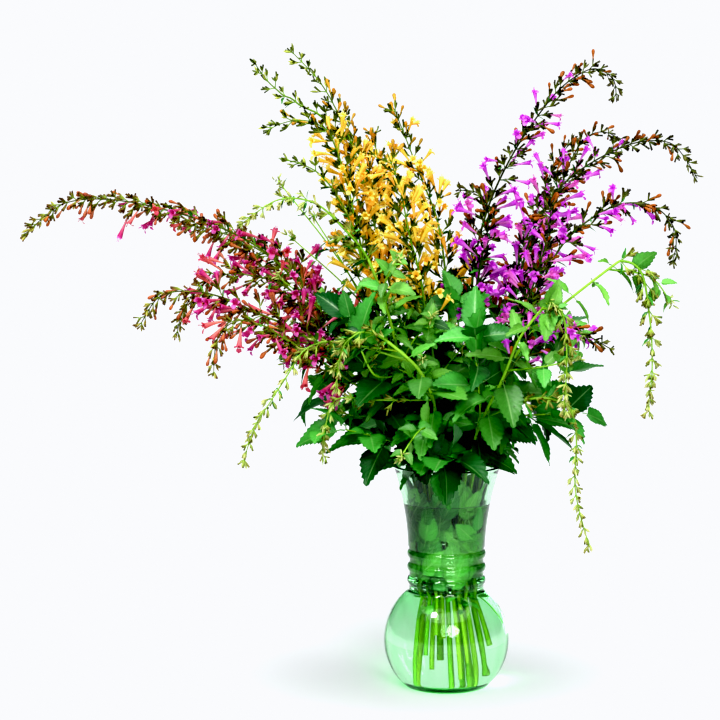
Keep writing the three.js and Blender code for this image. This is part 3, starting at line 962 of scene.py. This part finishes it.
def add_whorl(sprig, colour, run, distance, turn, share, vigour, opened):
    """Two opposite branches of flowers, and what each flower has come to."""
    habit = HABITS[colour]
    place, axis, side, other = run.at(distance)
    for half in (0, math.pi):
        angle = turn + half + rng.normal(0, 0.3)
        out = round_axis(side, other, angle)
        lean = math.radians(habit["lean"] * rng.uniform(0.7, 1.25))
        sag = UP * habit["hang"] * 0.4 * (1 - share)
        direction = unit(axis * math.cos(lean) + out * math.sin(lean) - sag)
        length = mix(*habit["branches"], share**0.75) * rng.uniform(0.35, 1.1) * vigour * MM
        end = place + direction * length
        curve = [place, (place + end) / 2 + axis * length * 0.06, end]
        sprig.add(swept(curve, BRANCH_RADII, 4), SPIKE_AXIS[colour])
        if share < BRACTED and rng.random() < 0.6:
            reach = unit(out + axis * rng.uniform(0.2, 1.0) - UP * rng.uniform(0, 0.5))
            tip = place + reach * mix(*BRACT_LENGTH, share) * rng.uniform(0.6, 1.3) * MM
            add_leaf(sprig, place, tip, BRACT)
        heads = max(int(round(mix(*habit["heads"], share) * vigour * rng.uniform(0.7, 1.3))), 1)
        for _ in range(heads):
            along = rng.uniform(0.3, 1.0) ** 0.6
            root = place + (end - place) * along
            nod = UP * habit["hang"] * rng.uniform(0, 1.0)
            aim = unit(direction * 0.9 + axis * 0.25 + scatter(0.42) - nod)
            add_head(sprig, colour, root, aim, share, opened)


def add_head(sprig, colour, root, direction, share, opened):
    """One calyx with its flower, club bud or nothing in it, or a young bud."""
    habit = HABITS[colour]
    bloom = min(max((opened - share) / FADE + 0.5, 0), 1)
    swell = min(max((opened + CLUBS_ABOVE - share) / FADE + 0.5, 0), 1)
    draw = rng.random()
    flower = draw < habit["flowers"] * bloom
    club = not flower and draw < (habit["flowers"] + habit["clubs"]) * swell
    hint = unit(UP + scatter(0.3))
    calyx = any_of(CALYXES)
    if not flower and not club and rng.random() > swell * 0.95:
        if rng.random() < 0.45:
            sprig.point(calyx, CALYX_FINISH[colour], root, direction, hint, rng.uniform(0.6, 0.8))
        else:
            size = mix(1.3, 1.1, share) * rng.uniform(0.65, 1.25)
            sprig.point(any_of(YOUNG_BUDS), TIP_FINISH[colour], root, direction, size=size)
        return
    size = mix(0.95, 0.8, share) * rng.uniform(0.8, 1.12)
    sprig.point(calyx, CALYX_FINISH[colour], root, direction, hint, size)
    if flower:
        shape = any_of(FLOWERS)
        size = size * habit["size"] * rng.uniform(0.85, 1.1)
        sprig.point(shape, PETALS[colour], root, direction, hint, size)
    elif club:
        shape = any_of(CLUBS)
        size = size * rng.uniform(0.9, 1.3)
        sprig.point(shape, CLUB_FINISH[colour], root, direction, hint, size)


SLOT_OF = {
    "pink": "pink_flower",
    "yellow": "yellow_flower",
    "purple": "purple_flower",
    "green": "green_bud",
}
LAST_WHORL = 1 * MM  # at least so far below the tip


def colour_of(node_name):
    slots = {p["node"]: p["material_slot"] for p in frame["record"]["subparts"]}
    return slots[node_name].split("_")[0]


def make_spike(name, line, replaced, vigour=1.0, bare=0.0):
    """A flower spike along a line, from its first whorl to the buds at its tip. Bare is
    the share at its base that has no flowers."""
    colour = colour_of(replaced)
    run = Run(line)
    sprig = Sprig()
    axis = stem_tube(run, 1.25 * MM, 0.4 * MM, step=3.5 * MM, sides=6)
    sprig.add(axis, SPIKE_AXIS[colour])
    opened = LATE.get(name, HABITS[colour]["opened"])
    distance = bare * run.length
    turn = rng.uniform(0, math.pi)
    first, last = HABITS[colour]["gaps"]
    while distance < run.length - LAST_WHORL:
        share = distance / run.length
        add_whorl(sprig, colour, run, distance, turn, share, vigour, opened)
        turn += math.pi / 2
        distance += mix(first, last, share) * rng.uniform(0.8, 1.2) * MM
    finishes = [SPIKE_AXIS[colour], CALYX_FINISH[colour], TIP_FINISH[colour], LEAF]
    if colour != "green":
        finishes += [PETALS[colour], CLUB_FINISH[colour]]
    sprig.made(f"{name}_flowers", finishes, SLOT_OF[colour], [replaced])


# ---- the whole bouquet

MOUTH_MIDDLE = np.array([0, 0, MOUTH_HEIGHT * MM])
SHOOT_HEIGHTS = (235, 385)  # where young side shoots leave the stalks, in millimetres
SHOOT_SHARES = (0.1, 0.45, 0.85)  # how far up between those heights each of them leaves
SHOOT_REACH = (45, 85)
SHOOT_LEAF_LENGTH = (34, 9)  # from a young shoot's base to its tip
SHOOT_LEAVES = (0.3, 0.52, 0.7, 0.85, 0.97)  # where along it the pairs of leaves are
TUFT_BUDS = 14


def add_young_shoot(sprig, run, distance, end=None):
    """A soft side shoot: a thin twig that rises and nods, with pairs of small bright
    leaves that shrink towards a tuft of green buds. It goes to end if that is given."""
    place, axis, side, other = run.at(distance)
    angle = rng.uniform(0, 2 * math.pi)
    out = round_axis(side, other, angle)
    reach = rng.uniform(*SHOOT_REACH) * MM
    middle = place + unit(out + axis * 0.9) * reach * 0.55
    if end is None:
        end = middle + unit(out * 0.8 + UP * rng.uniform(-0.3, 0.9)) * reach * 0.45
    else:
        middle = mix(place, end, 0.55) + UP * 14 * MM
    twig = Run(np.clip([place, middle, end], *INSIDE))
    sprig.add(stem_tube(twig, 1.0 * MM, 0.55 * MM, sides=6), STALK)
    turn = rng.uniform(0, math.pi)
    for share in SHOOT_LEAVES:
        node_place, along, one, two = twig.at(share * twig.length)
        for half in (0, math.pi):
            out = round_axis(one, two, turn + half)
            reach = unit(out + along * rng.uniform(0.2, 0.8) - UP * rng.uniform(-0.2, 0.4))
            length = mix(*SHOOT_LEAF_LENGTH, share) * rng.uniform(0.8, 1.2) * MM
            shape = any_of(YOUNG_LEAVES)
            add_leaf(sprig, node_place, node_place + reach * length, shape, age=rng.uniform(0.05, 0.7))
        turn += math.pi / 2
    for _ in range(TUFT_BUDS):
        direction = unit(twig.tangents[-1] + scatter(0.8))
        root = twig.points[-1] - twig.tangents[-1] * rng.uniform(0, 9) * MM + scatter(1.2) * MM
        sprig.point(YOUNG_BUDS[0], TIP_FINISH["green"], root, direction, size=rng.uniform(0.8, 1.3))


LEAF_GAP = (15, 24)  # millimetres between pairs of leaves on a stalk
LEAF_LENGTH = (34, 54)
# The young shoots that arch out between the pink and yellow flowers, and on the right:
# the stalk each leaves and where it ends.
ARCHING = {
    "yellow_1": ((-150, 10, 452),),
    "yellow_2": ((-122, 15, 425), (-92, -25, 392)),
    "yellow_4": ((-140, -10, 405),),
    "pink_1": ((-112, -45, 356),),
    "pink_3": ((-150, -40, 372),),
    "purple_1": ((76, -50, 352),),
}
CUT_TWIGS = {"purple_2": (24, -6, -17), "yellow_1": (-20, -8, 5)}  # bare twigs in the ball
CUT_TWIG_HEIGHT = 68
CUT_TWIG_RADII = np.array([0.6, 0.5, 0.45]) * MM
SHREDS = 6  # scraps of stripped leaf that cling to each stalk in the ball
SHRED_HEIGHTS = (64, 98)
SHRED_LENGTH = (7, 14)
LEAFY_TOP = 370  # height in millimetres where the flowering stalks run out of leaves
YOUNG_TOP = 470  # and the young green ones
YOUNG_FROM = 260  # leaves get smaller and narrower above this height
YOUNG_OVER = 100  # until this much higher


def make_stalk(name):
    """A stalk with its leaves, and its spike."""
    stem_line = middle_line(f"{name}_stem", np.array([0, 0, 0]))
    spike_line = middle_line(f"{name}_spike", stem_line[-1])
    run = Run(stem_line + spike_line[:1])
    stalk = Sprig()
    stalk.add(stem_tube(run, 1.35 * MM, 1.2 * MM), STALK)
    stalk.made(f"{name}_stalk", [STALK], "stalk", [f"{name}_stem"])

    is_green = colour_of(f"{name}_spike") == "green"
    top = YOUNG_TOP if is_green else LEAFY_TOP
    leaves = Sprig()
    distance = 0.0
    turn = rng.uniform(0, math.pi)
    while distance < run.length - 6 * MM:
        place, axis, side, other = run.at(distance)
        height = place[2] / MM
        if MOUTH_HEIGHT + 2 < height < top:
            for half in (0, math.pi):
                angle = turn + half + rng.normal(0, 0.25)
                out = round_axis(side, other, angle)
                reach = unit(out + axis * rng.uniform(0.1, 0.6) - UP * rng.uniform(0.0, 0.7))
                youth = min(max((height - YOUNG_FROM) / YOUNG_OVER, 0), 1)
                length = rng.uniform(*LEAF_LENGTH) * mix(1.0, 0.6, youth) * MM
                age = rng.uniform(0, 0.25) + 0.45 * youth * is_green
                shape = LANCE if rng.random() < youth * 1.2 else None
                add_leaf(leaves, place, place + reach * length, shape, unit(UP + out * 0.6), age)
        turn += math.pi / 2
        distance += rng.uniform(*LEAF_GAP) * MM
    heights = run.points[:, 2] / MM
    low, high = np.interp(SHOOT_HEIGHTS, heights, run.reach)
    for share in SHOOT_SHARES:
        add_young_shoot(leaves, run, mix(low, high, share + rng.uniform(-0.1, 0.15)))
    for end in ARCHING.get(name, ()):
        add_young_shoot(leaves, run, low, np.array(end) * MM)
    if name in CUT_TWIGS:
        place = run.at(np.interp(CUT_TWIG_HEIGHT, heights, run.reach))[0]
        end = place + np.array(CUT_TWIGS[name]) * MM
        twig = [place, mix(place, end, 0.5) + UP * 3 * MM, end]
        leaves.add(swept(twig, CUT_TWIG_RADII, 5), STALK)
    for height in rng.uniform(*SHRED_HEIGHTS, SHREDS):
        place = run.at(np.interp(height, heights, run.reach))[0]
        tip = place + unit(scatter(1.0)) * rng.uniform(*SHRED_LENGTH) * MM
        shape = any_of(YOUNG_LEAVES)
        add_leaf(leaves, place, tip, shape, age=rng.uniform(0, 0.5))
    leaves.made(f"{name}_leaves", [LEAF, STALK, TIP_FINISH["green"]], "leaf")
    make_spike(name, spike_line, f"{name}_spike")


def make_side_spike(name):
    make_spike(name, middle_line(name, MOUTH_MIDDLE), name, vigour=0.75, bare=0.12)


LONGEST_LEAF = 52  # millimetres


def make_shoot(name):
    """A leafy shoot, with a leaf wherever the CAD model has one."""
    twig, leaf_ends = leaf_lines(name, MOUTH_MIDDLE)
    sprig = Sprig()
    run = Run(twig[:: max(len(twig) // 4, 1)], step=3 * MM)
    sprig.add(stem_tube(run, 1.1 * MM, 0.8 * MM, sides=6), STALK)
    for root, tip in leaf_ends:
        reach = tip - root
        shown = min(np.linalg.norm(reach), LONGEST_LEAF * MM)
        add_leaf(sprig, root, root + unit(reach) * shown, face=unit(UP + scatter(0.35)))
    sprig.made(f"{name}_leaves", [STALK, LEAF], "leaf", [name])


NECK_LEAVES = 130
NECK_LEAF_LENGTH = (24, 38)
NECK_LEAF_FOOT = 88  # the lowest that one reaches
GOLDEN_ANGLE = 2.399  # from each leaf to the next, so that they lie evenly round the neck
LAYERS = 4
LAYER_GAP = 2.1
FIRST_LAYER = 0.9  # from the glass to the outermost leaves
BELOW_MOUTH = 4  # how far under the mouth their tips stay
FOLD_DEPTH = 4  # how far their folds stand in from the glass


def make_neck_leaves(names):
    """Leaves that lie inside the neck in layers, bent to its glass."""
    sprig = Sprig()
    for k in range(NECK_LEAVES):
        turn = k * GOLDEN_ANGLE + rng.normal(0, 0.2)
        length = rng.uniform(*NECK_LEAF_LENGTH)
        foot = rng.uniform(NECK_LEAF_FOOT, MOUTH_HEIGHT - BELOW_MOUTH - length)
        shape = LEAVES[k % len(LEAVES)]
        lean = rng.normal(0, 0.5)
        x = shape.corners[:, 0] * length
        y = shape.corners[:, 1] * length
        z = foot + x * math.cos(lean) - y * math.sin(lean)
        sideways = x * math.sin(lean) + y * math.cos(lean)
        depth = FIRST_LAYER + LAYER_GAP * (k % LAYERS)
        inside = np.array([max(flare_radius(h), NECK_RADIUS) - WALL - depth for h in z])
        inside = inside - np.abs(shape.corners[:, 2]) * FOLD_DEPTH
        angles = turn - sideways / inside
        corners = np.column_stack([inside * np.cos(angles), inside * np.sin(angles), z]) * MM
        bent = Shape(corners, shape.faces, shape.along, shape.across)
        sprig.add(bent, LEAF, age=rng.uniform(0.0, 0.45))
    sprig.made("neck_leaves", [LEAF], "leaf", names)


# ---- camera and light


CAMERA_PLACE = (-0.0774, -2.2, 0.548)
CAMERA_TILT = 6.6  # degrees down from level
SENSOR_WIDTH = 36
LENS = 124.9


def make_camera():
    camera = bpy.data.objects.new("camera", bpy.data.cameras.new("camera"))
    camera.data.sensor_width = SENSOR_WIDTH
    camera.data.lens = LENS
    camera.location = CAMERA_PLACE
    camera.rotation_euler = (math.radians(90 - CAMERA_TILT), 0, 0)
    put_in_scene(camera)
    bpy.context.scene.camera = camera


FLOOR_REACH = 60
LAMP_TARGET = (0, 0, 0.3)
OVERHEAD_STRENGTH = 3.7
OVERHEAD_ANGLE = 80  # degrees of sky that it fills, which makes its shadows soft
OVERHEAD_TILT = 12  # degrees towards the front
WALLS_LOOKED_AT = 1.15
WALLS_THROW_BACK = 0.12
DARKEST = (0.06, 0.06, 0.056)  # the red, green and blue that print as black
PAPER_WHITE = (0.67, 0.675, 0.686)  # and the brightest that the print has


def make_floor():
    """A pale matt floor without an end."""
    corners = [(x, y, 0) for y in (-FLOOR_REACH, FLOOR_REACH) for x in (-FLOOR_REACH, FLOOR_REACH)]
    mesh = bpy.data.meshes.new("floor")
    mesh.from_pydata(corners, [], [(0, 1, 3, 2)])
    material, tree, output = finish("matt_white_paper")
    paper = node(tree, "ShaderNodeBsdfPrincipled", Base_Color=linear("#f6f7f9"), Roughness=0.9)
    tree.links.new(paper.outputs[0], output.inputs["Surface"])
    mesh.materials.append(material)
    floor = bpy.data.objects.new("floor", mesh)
    put_in_scene(floor)


def make_walls():
    """Walls that are white to look at and through the glass, and throw little light back."""
    world = bpy.data.worlds.new("soft_white")
    world.use_nodes = True
    tree = world.node_tree
    tree.nodes.clear()
    path = node(tree, "ShaderNodeLightPath").outputs
    looked_at = calculated(tree, "MAXIMUM", path["Is Camera Ray"], path["Is Transmission Ray"])
    dim = node(tree, "ShaderNodeBackground", Color=linear("#f4f7fb"), Strength=WALLS_THROW_BACK)
    white = node(tree, "ShaderNodeBackground", Color=linear("#fcfdff"), Strength=WALLS_LOOKED_AT)
    both = blend_shaders(tree, looked_at, dim.outputs[0], white.outputs[0])
    output = node(tree, "ShaderNodeOutputWorld")
    tree.links.new(both, output.inputs["Surface"])
    bpy.context.scene.world = world


def make_lamp(name, place, size, watts):
    """A round soft lamp that is aimed at the bouquet's middle."""
    light = bpy.data.lights.new(name, "AREA")
    light.shape = "DISK"
    light.size = size
    light.energy = watts
    lamp = bpy.data.objects.new(name, light)
    lamp.location = place
    lamp.visible_camera = False
    aim = np.array(LAMP_TARGET) - np.array(place)
    lamp.rotation_euler = (math.acos(-aim[2] / np.linalg.norm(aim)), 0, math.atan2(-aim[0], aim[1]))
    put_in_scene(lamp)
    return lamp


def make_lamps():
    """A wide white sky, a soft lamp in front, and a key lamp for the bouquet alone, so that
    it models the leaves and throws no shadow on the floor."""
    sky = bpy.data.lights.new("overhead", "SUN")
    sky.energy = OVERHEAD_STRENGTH
    sky.angle = math.radians(OVERHEAD_ANGLE)
    overhead = bpy.data.objects.new("overhead", sky)
    overhead.rotation_euler = (math.radians(OVERHEAD_TILT), 0, 0)
    put_in_scene(overhead)
    make_lamp("front", (0.5, -2.6, 1.3), size=1.2, watts=50)
    key = make_lamp("key", (-0.9, -1.3, 2.1), size=0.5, watts=48)
    key.light_linking.receiver_collection = LIT_BY_KEY


def set_print():
    """A crisp print: deep darks, strong colours and paper that is no brighter than white."""
    view = bpy.context.scene.view_settings
    view.view_transform = "Standard"
    view.look = "High Contrast"
    view.exposure = 0.0
    view.use_curve_mapping = True
    view.curve_mapping.black_level = DARKEST
    view.curve_mapping.extend = "HORIZONTAL"
    for curve, white in zip(view.curve_mapping.curves, PAPER_WHITE):
        curve.points[-1].location = (1.0, white)
    view.curve_mapping.update()


make_camera()
make_floor()
make_walls()
make_lamps()
set_print()
make_vase()
nodes = sorted(frame["nodes"])
for stem in [n for n in nodes if n.endswith("_stem")]:
    make_stalk(stem.removesuffix("_stem"))
for side in [n for n in nodes if "_side_" in n]:
    make_side_spike(side)
for shoot in [n for n in nodes if n.startswith("leafy_shoot")]:
    make_shoot(shoot)
make_neck_leaves([n for n in nodes if n.startswith("neck_leaf")])
